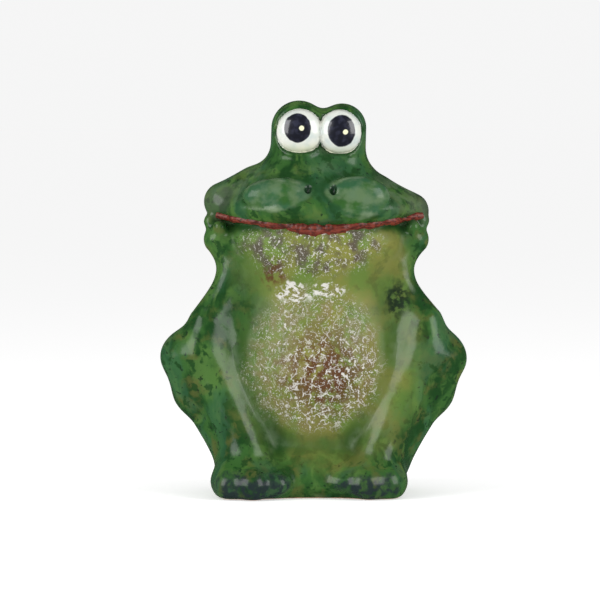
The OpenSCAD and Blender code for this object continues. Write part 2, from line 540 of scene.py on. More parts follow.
@dataclass
class Skin:
    """A closed triangle mesh on a figure's surface, cut into patches."""

    figure: Figure
    pitch: float
    low: Array = field(default_factory=lambda: np.array([-72.0, -50.0, -3.0]))
    high: Array = field(default_factory=lambda: np.array([72.0, 50.0, 182.0]))
    rounds: int = 3
    fine_step: float = 0.15
    hole_margin: float = 0.6
    hole_top_margin: float = 0.4
    slot_margin: float = 0.8
    slot_depth: float = 5.0
    points: Array = field(init=False)
    triangles: Array = field(init=False)

    def __post_init__(self) -> None:
        """Builds the mesh and settles it on the true surface."""
        grid, origin = self.sampled()
        volume = openvdb.FloatGrid()
        volume.copyFromArray(grid)
        points, triangles, quads = volume.convertToPolygons(isovalue=0.0)
        self.points = points * self.pitch + origin
        halves = [quads[:, [0, 1, 2]], quads[:, [0, 2, 3]]]
        self.triangles = np.concatenate([triangles, *halves]).astype(np.int64)
        for _ in range(self.rounds):
            self.settle()
        a, b, c = (self.points[self.triangles[:, k]] for k in range(3))
        if (np.cross(a, b) * c).sum() < 0:
            self.triangles = self.triangles[:, ::-1]

    def sampled(self) -> tuple[Array, Array]:
        """Samples the field finely near the surface and coarsely elsewhere.

        Returns:
            The grid of distances, and the place of its first sample.
        """
        block, band = 4, 1.6
        count = np.ceil((self.high - self.low) / (self.pitch * block)).astype(int)
        axes = [self.low[k] + (np.arange(count[k]) + 0.5) * self.pitch * block for k in range(3)]
        centres = np.stack(np.meshgrid(*axes, indexing="ij"), axis=-1).reshape(-1, 3)
        coarse = self.figure.distance(centres)
        grid = np.repeat(np.repeat(np.repeat(coarse.reshape(count), block, 0), block, 1), block, 2)
        near = np.argwhere(np.abs(coarse.reshape(count)) < self.pitch * block * band)
        inner = np.stack(np.meshgrid(*[np.arange(block)] * 3, indexing="ij"), axis=-1).reshape(-1, 3)
        cells = (near[:, None, :] * block + inner[None]).reshape(-1, 3)
        origin = self.low + self.pitch / 2
        grid[tuple(cells.T)] = self.figure.distance(origin + cells * self.pitch)
        return np.ascontiguousarray(grid, dtype=np.float32), origin

    def settle(self) -> None:
        """Moves every point along the slope to the true surface."""
        slope = self.figure.slope(self.points, self.fine_step)
        self.points = self.points - self.figure.distance(self.points)[:, None] * slope

    def cut(self, faces: Array, level: Array) -> tuple[Array, Array]:
        """Cuts triangles along the line where a level is zero.

        Args:
            faces: The triangles to cut, as rows of point numbers.
            level: The level at every point of the skin.

        Returns:
            The triangles below zero, and those above.
        """
        below = level[faces] < 0
        count = below.sum(axis=1)
        under, over = faces[count == 3], faces[count == 0]
        mixed = faces[(count == 1) | (count == 2)]
        alone = below[(count == 1) | (count == 2)]
        odd = np.where(alone.sum(axis=1) == 1, alone.argmax(axis=1), (~alone).argmax(axis=1))
        rows = np.arange(len(mixed))
        a, b, c = (mixed[rows, (odd + k) % 3] for k in range(3))
        ends = np.sort(np.concatenate([np.stack([a, b], 1), np.stack([a, c], 1)]), axis=1)
        edges, place = np.unique(ends, axis=0, return_inverse=True)
        place = place.reshape(-1) + len(self.points)
        ab, ac = place[:len(mixed)], place[len(mixed):]
        tip = np.stack([a, ab, ac], 1)
        rest = np.concatenate([np.stack([ab, b, c], 1), np.stack([ab, c, ac], 1)])
        tip_below = level[a] < 0
        under = np.concatenate([under, tip[tip_below], rest[np.tile(~tip_below, 2)]])
        over = np.concatenate([over, tip[~tip_below], rest[np.tile(tip_below, 2)]])
        first, last = level[edges[:, 0]], level[edges[:, 1]]
        share = np.clip(first / (first - last), 0.02, 0.98)
        start, end = self.points[edges[:, 0]], self.points[edges[:, 1]]
        self.points = np.concatenate([self.points, start + share[:, None] * (end - start)])
        return under, over

    def patches(self) -> dict[str, Array]:
        """Returns each piece's triangles, by the piece's name.

        Returns:
            Rows of point numbers, by the piece's name.
        """
        found: dict[str, Array] = {}
        rest = self.triangles
        _, rest = self.cut(rest, self.open_level())
        names = list(self.figure.forms(self.points[:1]))
        for name in names[1:]:
            fields = self.figure.forms(self.points)
            others = np.min([fields[n] for n in names if n != name], axis=0)
            found[name], rest = self.cut(rest, fields[name] - others)
        front, behind = self.cut(rest, self.points[:, 1] - self.figure.seam_y)
        found["belly_shell"], found["back_shell"] = front, behind
        found["head_shell"] = found.pop("head")
        return found

    def open_level(self) -> Array:
        """Returns a level that is below zero where the wall is open: in the hole and the slot.

        Returns:
            One level for each point of the skin.
        """
        at = self.points
        figure = self.figure
        roof = figure.hole.top - self.hole_top_margin - at[:, 2]
        hole = np.maximum(figure.hole.distance(at) - self.hole_margin, roof)
        slot = np.maximum(figure.slot.distance(at) - self.slot_margin, figure.solid(at) + self.slot_depth)
        return np.minimum(hole, slot)


# How far off the skin the field is felt, for hollows and for edges, and the share of each distance.
HOLLOW_FEEL = ((1.2, 0.35), (3.5, 0.35), (8.0, 0.3))
EDGE_FEEL = ((1.5, 0.5), (4.0, 0.5))


@dataclass
class Piece:
    """One luted piece of the figure: a patch of the skin with a wall behind it."""

    name: str
    skin: Skin
    triangles: Array
    wall: float
    fine_step: float = 0.12
    wide_step: float = 3.0

    def build(self) -> bpy.types.Object:
        """Builds the closed mesh.

        Returns:
            The piece, in metres, with the skin's own normals on its outer face.
        """
        used, faces = np.unique(self.triangles, return_inverse=True)
        faces = faces.reshape(-1, 3)
        outer = self.skin.points[used]
        figure = self.skin.figure
        normal = figure.slope(outer, self.fine_step)
        inner = outer - self.wall * figure.slope(outer, self.wide_step)
        count = len(used)
        edges = np.concatenate([faces[:, [0, 1]], faces[:, [1, 2]], faces[:, [2, 0]]])
        key = edges[:, 0] * count + edges[:, 1]
        twin = edges[:, 1] * count + edges[:, 0]
        rim = edges[~np.isin(key, twin)]
        rim_faces = np.concatenate([
            np.stack([rim[:, 1], rim[:, 0], rim[:, 0] + count], 1),
            np.stack([rim[:, 1], rim[:, 0] + count, rim[:, 1] + count], 1)])
        every = np.concatenate([faces, faces[:, ::-1] + count, rim_faces])
        points = np.concatenate([outer, inner])
        a, b, c = (points[rim_faces[:, k]] for k in range(3))
        flat = np.cross(b - a, c - a)
        flat /= np.maximum(np.linalg.norm(flat, axis=1, keepdims=True), 1e-9)
        corner = np.concatenate([normal[faces].reshape(-1, 3), -normal[faces[:, ::-1]].reshape(-1, 3),
                                 np.repeat(flat, 3, axis=0)])
        piece = mesh_object(self.name, points * MM, every, corner)
        self.mark(piece, outer, normal)
        return piece

    def mark(self, piece: bpy.types.Object, outer: Array, normal: Array) -> None:
        """Stores how hollow and how sharp the skin is at each point, for the glaze to read.

        Args:
            piece: The built piece.
            outer: The points of its outer face.
            normal: The normals there.
        """
        figure = self.skin.figure
        hollow = np.zeros(len(outer))
        for reach, share in HOLLOW_FEEL:
            gap = figure.distance(outer + normal * reach)
            hollow += share * np.clip(1 - gap / reach, 0, 1)
        edge = np.zeros(len(outer))
        for reach, share in EDGE_FEEL:
            depth = -figure.distance(outer - normal * reach)
            edge += share * np.clip(1 - depth / reach, 0, 1)
        for name, value in (("hollow", hollow), ("edge", edge)):
            layer = piece.data.attributes.new(name, "FLOAT", "POINT")
            layer.data.foreach_set("value", np.concatenate([value, value]).astype(np.float32))


def mesh_object(name: str, points: Array, faces: Array, corner_normals: Array) -> bpy.types.Object:
    """Makes a triangle mesh with a normal of its own at each corner.

    Args:
        name: The object's name.
        points: Its points, in metres.
        faces: Its triangles.
        corner_normals: One normal for each corner of each triangle.

    Returns:
        The new object, in the scene.
    """
    mesh = bpy.data.meshes.new(name)
    mesh.vertices.add(len(points))
    mesh.vertices.foreach_set("co", points.astype(np.float32).ravel())
    mesh.loops.add(faces.size)
    mesh.loops.foreach_set("vertex_index", faces.astype(np.int32).ravel())
    mesh.polygons.add(len(faces))
    mesh.polygons.foreach_set("loop_start", np.arange(0, faces.size, 3, dtype=np.int32))
    mesh.polygons.foreach_set("use_smooth", np.ones(len(faces), dtype=bool))
    mesh.update(calc_edges=True)
    mesh.normals_split_custom_set(corner_normals.tolist())
    obj = bpy.data.objects.new(name, mesh)
    bpy.context.scene.collection.objects.link(obj)
    return obj


# ---------------------------------------------------------------- turned and swept pieces


def eased(corners: list[tuple[float, float]], radius: float, steps: int = 4) -> list[tuple[float, float]]:
    """Rounds the inner corners of an open profile.

    Args:
        corners: The profile's corners, as pairs of radius and height.
        radius: How far from each corner the rounding starts.
        steps: How many points each rounding has, less one.

    Returns:
        The profile with its corners rounded.
    """
    line = [np.array(corner, dtype=float) for corner in corners]
    out = [line[0]]
    for before, here, after in zip(line, line[1:], line[2:]):
        reach_in = min(radius, np.linalg.norm(before - here) / 2.05)
        reach_out = min(radius, np.linalg.norm(after - here) / 2.05)
        start = here + (before - here) / np.linalg.norm(before - here) * reach_in
        end = here + (after - here) / np.linalg.norm(after - here) * reach_out
        for k in range(steps + 1):
            t = k / steps
            out.append((1 - t) ** 2 * start + 2 * t * (1 - t) * here + t * t * end)
    return [tuple(point) for point in (*out, line[-1])]


def turned(name: str, profile: list[tuple[float, float]], closed: bool,
           segments: int = 96) -> bpy.types.Object:
    """Turns a profile about the vertical axis.

    Args:
        name: The object's name.
        profile: Pairs of radius and height, in millimetres.
        closed: True where the profile's end meets its start, as on a ring.
        segments: How many faces go round.

    Returns:
        The turned piece, closed, in metres.
    """
    mesh = bpy.data.meshes.new(name)
    build = bmesh.new()
    rings = []
    for radius, height in profile:
        if radius < 1e-6:
            rings.append([build.verts.new((0, 0, height * MM))] * segments)
            continue
        turns = [2 * math.pi * k / segments for k in range(segments)]
        rings.append([build.verts.new((radius * MM * math.cos(a), radius * MM * math.sin(a), height * MM))
                      for a in turns])
    pairs = list(zip(rings, rings[1:])) + ([(rings[-1], rings[0])] if closed else [])
    for low, high in pairs:
        for k in range(segments):
            corners = [low[k], low[(k + 1) % segments], high[(k + 1) % segments], high[k]]
            build.faces.new(list(dict.fromkeys(corners))).smooth = True
    bmesh.ops.recalc_face_normals(build, faces=build.faces)
    build.to_mesh(mesh)
    build.free()
    piece = bpy.data.objects.new(name, mesh)
    bpy.context.scene.collection.objects.link(piece)
    return piece


class SweepInput(Enum):
    """The named inputs of the swept bead's node tree."""

    WIDE = "Half width"
    WAVE = "Wave height"
    STEP = "Step length"
    FINISH = "Material"


# The bead's swell: how far along the lip, and the bead's share of its full width there.
SWELL = ((0.0, 0.36), (0.06, 0.44), (0.3, 0.58), (0.49, 1.0), (0.66, 0.66), (0.94, 0.44), (1.0, 0.36))


def bead_tree() -> bpy.types.NodeTree:
    """Makes the node tree that sweeps a hand-drawn bead along a line of edges.

    Returns:
        The tree. Its inputs are those of SweepInput.
    """
    tree = bpy.data.node_groups.new("brushed bead", "GeometryNodeTree")
    face = tree.interface
    face.new_socket("Geometry", in_out="INPUT", socket_type="NodeSocketGeometry")
    for choice in SweepInput:
        kind = "NodeSocketMaterial" if choice is SweepInput.FINISH else "NodeSocketFloat"
        face.new_socket(choice.value, in_out="INPUT", socket_type=kind)
    face.new_socket("Geometry", in_out="OUTPUT", socket_type="NodeSocketGeometry")

    def put(kind: str, **settings: object) -> bpy.types.Node:
        """Adds a node and sets its properties.

        Args:
            kind: The node's type.
            settings: Its properties.

        Returns:
            The node.
        """
        node = tree.nodes.new(kind)
        for key, value in settings.items():
            setattr(node, key, value)
        return node

    link = tree.links.new
    given = put("NodeGroupInput")
    line = put("GeometryNodeMeshToCurve")
    link(given.outputs["Geometry"], line.inputs["Mesh"])
    fine = put("GeometryNodeResampleCurve", mode="LENGTH")
    link(line.outputs["Curve"], fine.inputs["Curve"])
    link(given.outputs[SweepInput.STEP.value], fine.inputs["Length"])

    along = put("GeometryNodeSplineParameter")
    swell = put("ShaderNodeFloatCurve")
    points = swell.mapping.curves[0].points
    points[0].location, points[1].location = SWELL[0], SWELL[-1]
    for along_lip, width in SWELL[1:-1]:
        points.new(along_lip, width)
    swell.mapping.update()
    link(along.outputs["Factor"], swell.inputs["Value"])
    ragged = put("ShaderNodeTexNoise", noise_dimensions="1D")
    ragged.inputs["Scale"].default_value = 16.0
    ragged.inputs["Detail"].default_value = 3.0
    link(along.outputs["Factor"], ragged.inputs["W"])
    uneven = put("ShaderNodeMapRange")
    uneven.inputs["From Min"].default_value = 0.3
    uneven.inputs["From Max"].default_value = 0.7
    uneven.inputs["To Min"].default_value = 0.78
    uneven.inputs["To Max"].default_value = 1.22
    link(ragged.outputs[0], uneven.inputs["Value"])
    stroke = put("ShaderNodeMath", operation="MULTIPLY")
    link(swell.outputs["Value"], stroke.inputs[0])
    link(uneven.outputs["Result"], stroke.inputs[1])

    ring = put("GeometryNodeCurvePrimitiveCircle")
    ring.inputs["Resolution"].default_value = 20
    link(given.outputs[SweepInput.WIDE.value], ring.inputs["Radius"])
    sweep = put("GeometryNodeCurveToMesh")
    sweep.inputs["Fill Caps"].default_value = True
    link(fine.outputs["Curve"], sweep.inputs["Curve"])
    link(ring.outputs["Curve"], sweep.inputs["Profile Curve"])
    link(stroke.outputs["Value"], sweep.inputs["Scale"])

    place = put("GeometryNodeInputPosition")
    grain = put("ShaderNodeTexNoise", noise_dimensions="3D")
    grain.inputs["Scale"].default_value = 260.0
    link(place.outputs["Position"], grain.inputs["Vector"])
    centred = put("ShaderNodeVectorMath", operation="SUBTRACT")
    centred.inputs[1].default_value = (0.5, 0.5, 0.5)
    link(grain.outputs["Color"], centred.inputs[0])
    high = put("ShaderNodeVectorMath", operation="SCALE")
    link(centred.outputs["Vector"], high.inputs[0])
    link(given.outputs[SweepInput.WAVE.value], high.inputs["Scale"])
    moved = put("GeometryNodeSetPosition")
    link(sweep.outputs["Mesh"], moved.inputs["Geometry"])
    link(high.outputs["Vector"], moved.inputs["Offset"])

    real = put("GeometryNodeRealizeInstances")
    link(moved.outputs["Geometry"], real.inputs["Geometry"])
    dressed = put("GeometryNodeSetMaterial")
    link(real.outputs["Geometry"], dressed.inputs["Geometry"])
    link(given.outputs[SweepInput.FINISH.value], dressed.inputs["Material"])
    result = put("NodeGroupOutput")
    link(dressed.outputs["Geometry"], result.inputs["Geometry"])
    return tree


# ---------------------------------------------------------------- finishes


Socket = bpy.types.NodeSocket
Value = float | Socket
Colour = tuple[float, float, float]


class Graph:
    """A material's nodes, with short calls for those that a glaze is painted with."""

    def __init__(self, name: str) -> None:
        """Starts a material and its coordinates, in millimetres.

        Args:
            name: The material's name.
        """
        self.material = bpy.data.materials.new(name)
        self.material.use_nodes = True
        self.tree = self.material.node_tree
        self.shader = self.tree.nodes["Principled BSDF"]
        place = self.tree.nodes.new("ShaderNodeTexCoord")
        self.at = self.vector("MULTIPLY", place.outputs["Object"], (1 / MM, 1 / MM, 1 / MM))
        self.x, self.y, self.z = self.split(self.at)

    def put(self, socket: Socket, value: Value | Point) -> None:
        """Links a socket to another, or sets its number or colour.

        Args:
            socket: The socket to fill.
            value: Another socket, a number, a point or a colour.
        """
        if isinstance(value, bpy.types.NodeSocket):
            self.tree.links.new(value, socket)
        elif socket.type == "RGBA":
            socket.default_value = (*value, 1.0)
        else:
            socket.default_value = value

    def math(self, operation: str, a: Value, b: Value = 0.0) -> Socket:
        """Returns a sum, product or other result of two numbers.

        Args:
            operation: The node's operation.
            a: The first number.
            b: The second number.

        Returns:
            The result.
        """
        node = self.tree.nodes.new("ShaderNodeMath")
        node.operation = operation
        self.put(node.inputs[0], a)
        self.put(node.inputs[1], b)
        return node.outputs[0]

    def vector(self, operation: str, a: Socket | Point, b: Socket | Point) -> Socket:
        """Returns a sum, product or other result of two vectors.

        Args:
            operation: The node's operation.
            a: The first vector.
            b: The second vector.

        Returns:
            The resulting vector.
        """
        node = self.tree.nodes.new("ShaderNodeVectorMath")
        node.operation = operation
        self.put(node.inputs[0], a)
        self.put(node.inputs[1], b)
        return node.outputs["Vector"]

    def split(self, a: Socket) -> list[Socket]:
        """Returns a vector's three parts.

        Args:
            a: The vector.

        Returns:
            Its x, y and z.
        """
        node = self.tree.nodes.new("ShaderNodeSeparateXYZ")
        self.put(node.inputs[0], a)
        return list(node.outputs)

    def length(self, a: Socket) -> Socket:
        """Returns a vector's length.

        Args:
            a: The vector.

        Returns:
            The length.
        """
        node = self.tree.nodes.new("ShaderNodeVectorMath")
        node.operation = "LENGTH"
        self.put(node.inputs[0], a)
        return node.outputs["Value"]

    def noise(self, size: float, seed: float, at: Socket | None = None, detail: float = 4.0) -> Socket:
        """Returns a cloud pattern.

        Args:
            size: The size of its clouds, in millimetres.
            seed: Where in the endless pattern it is taken from.
            at: The coordinates, those of the piece if none are given.
            detail: How many finer clouds are added.

        Returns:
            A value about 0.5.
        """
        node = self.clouds(size, seed, at, detail)
        return node.outputs[0]

    def clouds(self, size: float, seed: float, at: Socket | None, detail: float) -> bpy.types.Node:
        """Adds a noise node whose pattern is shifted by the seed.

        Args:
            size: The size of its clouds, in millimetres.
            seed: Where in the endless pattern it is taken from.
            at: The coordinates, those of the piece if none are given.
            detail: How many finer clouds are added.

        Returns:
            The node.
        """
        node = self.tree.nodes.new("ShaderNodeTexNoise")
        node.inputs["Scale"].default_value = 1 / size
        node.inputs["Detail"].default_value = detail
        shift = (seed * 37.1, seed * 91.7, seed * 53.3)
        self.put(node.inputs["Vector"], self.vector("ADD", at or self.at, shift))
        return node

    def warped(self, size: float, far: float, seed: float, at: Socket | None = None) -> Socket:
        """Returns the coordinates, each pushed about by up to half the given distance.

        Args:
            size: The size of the clouds that push them.
            far: Twice the longest push.
            seed: Where the clouds are taken from.
            at: The coordinates, those of the piece if none are given.

        Returns:
            The pushed coordinates.
        """
        push = self.clouds(size, seed, at, 3.0).outputs[1]
        push = self.vector("SUBTRACT", push, (0.5, 0.5, 0.5))
        push = self.vector("MULTIPLY", push, (far, far, far))
        return self.vector("ADD", at or self.at, push)

    def wavered(self, value: Socket, size: float, seed: float, far: float, detail: float = 4.0) -> Socket:
        """Returns a value with clouds added to it, so that a line drawn by it is not straight."""
        return self.math("ADD", value, self.math("MULTIPLY", self.noise(size, seed, detail=detail), far))

    def cracks(self, size: float, at: Socket) -> Socket:
        """Returns the distance from the nearest wall between cells of the given size.

        Args:
            size: The cells' size, in millimetres.
            at: The coordinates.

        Returns:
            The distance, as a share of the size.
        """
        node = self.tree.nodes.new("ShaderNodeTexVoronoi")
        node.feature = "DISTANCE_TO_EDGE"
        node.inputs["Scale"].default_value = 1 / size
        self.put(node.inputs["Vector"], at)
        return node.outputs["Distance"]

    def step(self, value: Value, low: float, high: float) -> Socket:
        """Returns 0 at low, 1 at high, and a smooth step between; low may be the larger.

        Args:
            value: What is stepped.
            low: Where the step starts.
            high: Where it ends.

        Returns:
            The share.
        """
        node = self.tree.nodes.new("ShaderNodeMapRange")
        node.interpolation_type = "SMOOTHSTEP"
        self.put(node.inputs["Value"], value)
        node.inputs["From Min"].default_value = low
        node.inputs["From Max"].default_value = high
        return node.outputs[0]

    def spot(self, middle: Point, half: Point, soft: float, at: Socket | None = None) -> Socket:
        """Returns 1 inside an ellipsoid and 0 outside, with a soft edge.

        Args:
            middle: The ellipsoid's middle.
            half: Half its size along each axis.
            soft: How wide its edge is, as a share of its size.
            at: The coordinates, those of the piece if none are given.

        Returns:
            The share.
        """
        off = self.vector("SUBTRACT", at or self.at, middle)
        off = self.vector("DIVIDE", off, half)
        return self.step(self.length(off), 1 + soft, 1 - soft)

    def both(self, *shares: Value) -> Socket:
        """Returns the product of several shares.

        Args:
            shares: The shares to multiply.

        Returns:
            The product.
        """
        total = shares[0]
        for share in shares[1:]:
            total = self.math("MULTIPLY", total, share)
        return total

    def mix(self, share: Value, a: Socket | Colour, b: Socket | Colour) -> Socket:
        """Returns colour a, with colour b over it by its share.

        Args:
            share: How much of b is seen.
            a: The colour under it.
            b: The colour on top.

        Returns:
            The mixed colour.
        """
        node = self.tree.nodes.new("ShaderNodeMix")
        node.data_type = "RGBA"
        self.put(node.inputs[0], share)
        self.put(node.inputs[6], a)
        self.put(node.inputs[7], b)
        return node.outputs[2]

    def attribute(self, name: str) -> Socket:
        """Returns a value stored on the mesh.

        Args:
            name: The attribute's name.

        Returns:
            The value.
        """
        node = self.tree.nodes.new("ShaderNodeAttribute")
        node.attribute_name = name
        return node.outputs["Fac"]

    def bump(self, height: Socket, distance: float, over: Socket | None = None) -> Socket:
        """Returns a normal that is ruffled by a height.

        Args:
            height: The height.
            distance: How far a height of 1 stands out, in millimetres.
            over: The normal that it is laid over, if not the plain one.

        Returns:
            The normal.
        """
        node = self.tree.nodes.new("ShaderNodeBump")
        node.inputs["Strength"].default_value = 1.0
        node.inputs["Distance"].default_value = distance * MM
        self.put(node.inputs["Height"], height)
        if over is not None:
            self.put(node.inputs["Normal"], over)
        return node.outputs["Normal"]


@dataclass(frozen=True)
class Gloss:
    """How a surface shines: numbers that are the same all over it."""

    roughness: float
    coat: float = 0.0
    coat_roughness: float = 0.03
    specular: float = 0.5

    def set_on(self, shader: bpy.types.Node) -> None:
        """Sets the numbers on the shader's own sockets.

        Args:
            shader: The shader node.
        """
        shader.inputs["Roughness"].default_value = self.roughness
        shader.inputs["Coat Weight"].default_value = self.coat
        shader.inputs["Coat Roughness"].default_value = self.coat_roughness
        shader.inputs["Specular IOR Level"].default_value = self.specular


SATIN = Gloss(0.5, coat=0.3, coat_roughness=0.30, specular=0.0)
SHINY = Gloss(0.5, coat=0.75, coat_roughness=0.21, specular=0.0)


@dataclass(frozen=True)
class Greens:
    """The glaze's colours, as linear red, green and blue."""

    bottle: Colour = (0.010, 0.050, 0.010)
    leaf: Colour = (0.034, 0.108, 0.022)
    bright: Colour = (0.075, 0.165, 0.035)
    moss: Colour = (0.092, 0.105, 0.026)
    sea: Colour = (0.030, 0.105, 0.048)
    ink: Colour = (0.008, 0.018, 0.010)
    night: Colour = (0.016, 0.024, 0.030)
    olive: Colour = (0.215, 0.215, 0.048)
    lime: Colour = (0.140, 0.215, 0.042)
    tan: Colour = (0.210, 0.165, 0.085)
    rust: Colour = (0.095, 0.032, 0.016)
    # mauve is the painted shadow under the jaw.
    mauve: Colour = (0.085, 0.062, 0.060)
    chalk: Colour = (0.640, 0.625, 0.590)
    slate: Colour = (0.085, 0.085, 0.070)
    # pale serves the thin glaze over sharp edges, and the painted highlights on the pads and cheeks.
    pale: Colour = (0.200, 0.270, 0.160)
    clay: Colour = (0.520, 0.300, 0.180)


@dataclass(frozen=True)
class Patch:
    """A painted patch, in millimetres: its place from a form's middle, half its size, its soft edge."""

    offset: Point
    half: Point
    soft: float

    def share(self, g: Graph, form: Ball, at: Socket) -> Socket:
        """Returns 1 inside the patch and 0 outside it.

        Args:
            g: The material's nodes.
            form: The form that the patch is painted on.
            at: The coordinates, pushed about so that the edge is torn.

        Returns:
            The share.
        """
        middle = tuple(a + b for a, b in zip(form.middle, self.offset))
        return g.spot(middle, self.half, self.soft, at)


@dataclass(frozen=True)
class Glaze:
    """The hand-painted, mottled glaze, with olive on the front and white crackle over it."""

    name: str
    trunk: Trunk
    head: Head
    nostrils: tuple[Ball, ...]
    shades: Greens = Greens()
    gloss: Gloss = SHINY
    belly: Patch = Patch((2, -27, 4), (38, 27, 40), 0.36)
    throat: Patch = Patch((1, -21, 48), (38, 24, 27), 0.26)
    throat_top: tuple[float, float] = (121.5, 119.0)
    net: Patch = Patch((-3.6, -27, 6), (31, 26, 32), 0.16)
    heart: Patch = Patch((1.5, -30, 0), (19, 24, 17), 0.60)
    dense: Patch = Patch((7.0, -30, -5), (22, 24, 22), 0.45)
    under_lips: Patch = Patch((-5, -24, 57), (31, 24, 14), 0.22)
    under_lips_top: tuple[float, float] = (120.5, 118.5)
    splashes: tuple[Patch, Patch] = (Patch((-12, -24, 35), (8, 22, 4.2), 0.30),
                                     Patch((2, -24, 36), (9, 22, 2.6), 0.30))
    smudge_by_arm: Patch = Patch((36, -16, -4), (5.5, 14, 8), 0.45)
    smudge_on_throat: Patch = Patch((-19, -24, 9), (5.5, 14, 6), 0.45)

    def material(self) -> bpy.types.Material:
        """Paints the glaze, coat by coat.

        Returns:
            The finished material.
        """
        g = Graph(self.name)
        colour = self.mottled(g)
        colour = self.olive_front(g, colour)
        colour = self.face(g, colour)
        colour = self.toes(g, colour)
        colour = self.pooled(g, colour)
        colour = self.smudged(g, colour)
        colour, chalk = self.crackle(g, colour)
        colour = g.mix(self.bare_rim(g), colour, self.shades.clay)
        g.put(g.shader.inputs["Base Color"], colour)
        fine = g.math("MULTIPLY", g.noise(2.6, 4.7, detail=2.0), 0.12)
        ripple = g.math("ADD", g.noise(9.0, 3.1, detail=1.0), fine)
        normal = g.bump(ripple, 0.5)
        normal = g.bump(chalk, 0.12, normal)
        g.put(g.shader.inputs["Normal"], normal)
        g.put(g.shader.inputs["Coat Normal"], normal)
        self.gloss.set_on(g.shader)
        return g.material

    def mottled(self, g: Graph) -> Socket:
        """Returns the ground of brushed greens.

        Args:
            g: The material's nodes.

        Returns:
            The ground.
        """
        s = self.shades
        brushed = g.vector("MULTIPLY", g.warped(18.0, 16.0, 0.7), (1.0, 1.0, 0.45))
        dabs = g.warped(5.0, 5.0, 1.9)
        colour = g.mix(g.step(g.noise(12.0, 1.0, brushed, 6.0), 0.42, 0.57), s.bottle, s.leaf)
        colour = g.mix(g.both(g.step(g.noise(8.0, 2.0, brushed, 6.0), 0.48, 0.62), 0.75), colour, s.bright)
        busy = g.math("SUBTRACT", 0.7, g.both(g.step(g.z, 116.0, 126.0), 0.4))
        colour = g.mix(g.both(g.step(g.noise(9.0, 3.0, dabs, 6.0), 0.50, 0.68), busy), colour, s.moss)
        colour = g.mix(g.both(g.step(g.noise(15.0, 4.0, brushed, 4.0), 0.50, 0.60), 0.5), colour, s.sea)
        colour = g.mix(g.both(g.step(g.noise(5.0, 5.0, dabs, 6.0), 0.56, 0.64), 0.85), colour, s.bottle)
        return g.mix(g.both(g.step(g.noise(2.2, 6.0, dabs, 5.0), 0.62, 0.69), 0.8), colour, s.ink)

    def olive_front(self, g: Graph, colour: Socket) -> Socket:
        """Returns the colour with olive over the belly and the throat.

        Args:
            g: The material's nodes.
            colour: The ground.

        Returns:
            The colour with the olive on it.
        """
        s = self.shades
        form = self.trunk.belly
        loose = g.warped(9.0, 9.0, 2.3)
        belly = self.belly.share(g, form, loose)
        throat = g.both(self.throat.share(g, form, loose), g.step(g.z, *self.throat_top))
        cover = g.math("MAXIMUM", belly, throat)
        tone = g.mix(g.step(g.noise(15.0, 8.0, detail=4.0), 0.38, 0.62), s.lime, s.olive)
        lean = g.step(g.wavered(g.x, 12.0, 9.0, 30.0), -16.0, 10.0)
        tone = g.mix(lean, s.lime, tone)
        tone = g.mix(g.both(g.step(g.noise(6.0, 10.0, loose), 0.56, 0.68), 0.5), tone, s.moss)
        return g.mix(g.both(cover, 0.94), colour, tone)

    def face(self, g: Graph, colour: Socket) -> Socket:
        """Returns the colour with the nose pads, nostrils, cheeks and jaw corners painted, and painted
        highlights on the cheeks and on the pads' lower edges.

        Args:
            g: The material's nodes.
            colour: The colour under it.

        Returns:
            The colour with the face on it.
        """
        s = self.shades
        loose = g.warped(6.0, 2.5, 3.7)
        for pad in (self.head.left_pad, self.head.right_pad):
            x, y, z = pad.middle
            wide, deep, tall = pad.half
            shape = g.spot((x, y - 2, z), (wide, deep + 3, tall), 0.10, loose)
            halo = g.spot((x, y - 2, z + 1.5), (wide * 1.16, deep + 4, tall * 1.2), 0.10, loose)
            colour = g.mix(g.both(halo, 0.62), colour, s.bottle)
            # The pads' pale tint is partly their own colour and partly a painted reflection.
            pad_tint_and_sheen = g.mix(g.step(g.noise(9.0, 11.0), 0.40, 0.62), s.sea, s.leaf)
            pad_tint_and_sheen = g.mix(g.both(g.step(g.noise(7.0, 25.0, detail=3.0), 0.38, 0.62), 0.45), pad_tint_and_sheen, s.pale)
            colour = g.mix(g.both(shape, 0.85), colour, pad_tint_and_sheen)
            # Painted highlight along the lower edge of each pad.
            lower = g.step(g.z, z - tall * 0.45, z - tall * 0.80)
            pad_highlight_streak = g.step(g.noise(5.0, 12.0), 0.34, 0.58)
            colour = g.mix(g.both(shape, lower, pad_highlight_streak, 0.62), colour, s.pale)
        for nostril in self.nostrils:
            half = tuple(size + 0.4 for size in nostril.half)
            colour = g.mix(g.spot(nostril.middle, half, 0.22), colour, s.night)
        for corner, share in ((self.head.left_corner, 0.30), (self.head.right_corner, 0.42)):
            # The pale patch on each cheek is a painted highlight.
            cheek_highlight = g.spot(corner.start, (19.0, 22.0, 9.0), 0.55, g.warped(9.0, 8.0, 26.1))
            brushed = g.step(g.noise(6.0, 27.0, detail=4.0), 0.36, 0.60)
            colour = g.mix(g.both(cheek_highlight, brushed, share), colour, s.pale)
            worn = g.spot(corner.end, (12.0, 14.0, 9.0), 0.35, g.warped(7.0, 6.0, 5.1))
            colour = g.mix(g.both(worn, 0.38), colour, s.slate)
        return colour

    def toes(self, g: Graph, colour: Socket) -> Socket:
        """Returns the colour with blue-black toe tips.

        Args:
            g: The material's nodes.
            colour: The colour under it.

        Returns:
            The colour with the toe tips on it.
        """
        low = g.step(g.wavered(g.z, 5.0, 13.0, 24.0, 6.0), 27.0, 18.0)
        front = g.step(g.wavered(g.y, 4.0, 14.0, 10.0), -30.0, -35.0)
        broken = g.math("ADD", g.both(g.step(g.noise(3.2, 28.0, detail=5.0), 0.40, 0.54), 0.55), 0.35)
        return g.mix(g.both(low, front, broken), colour, self.shades.night)

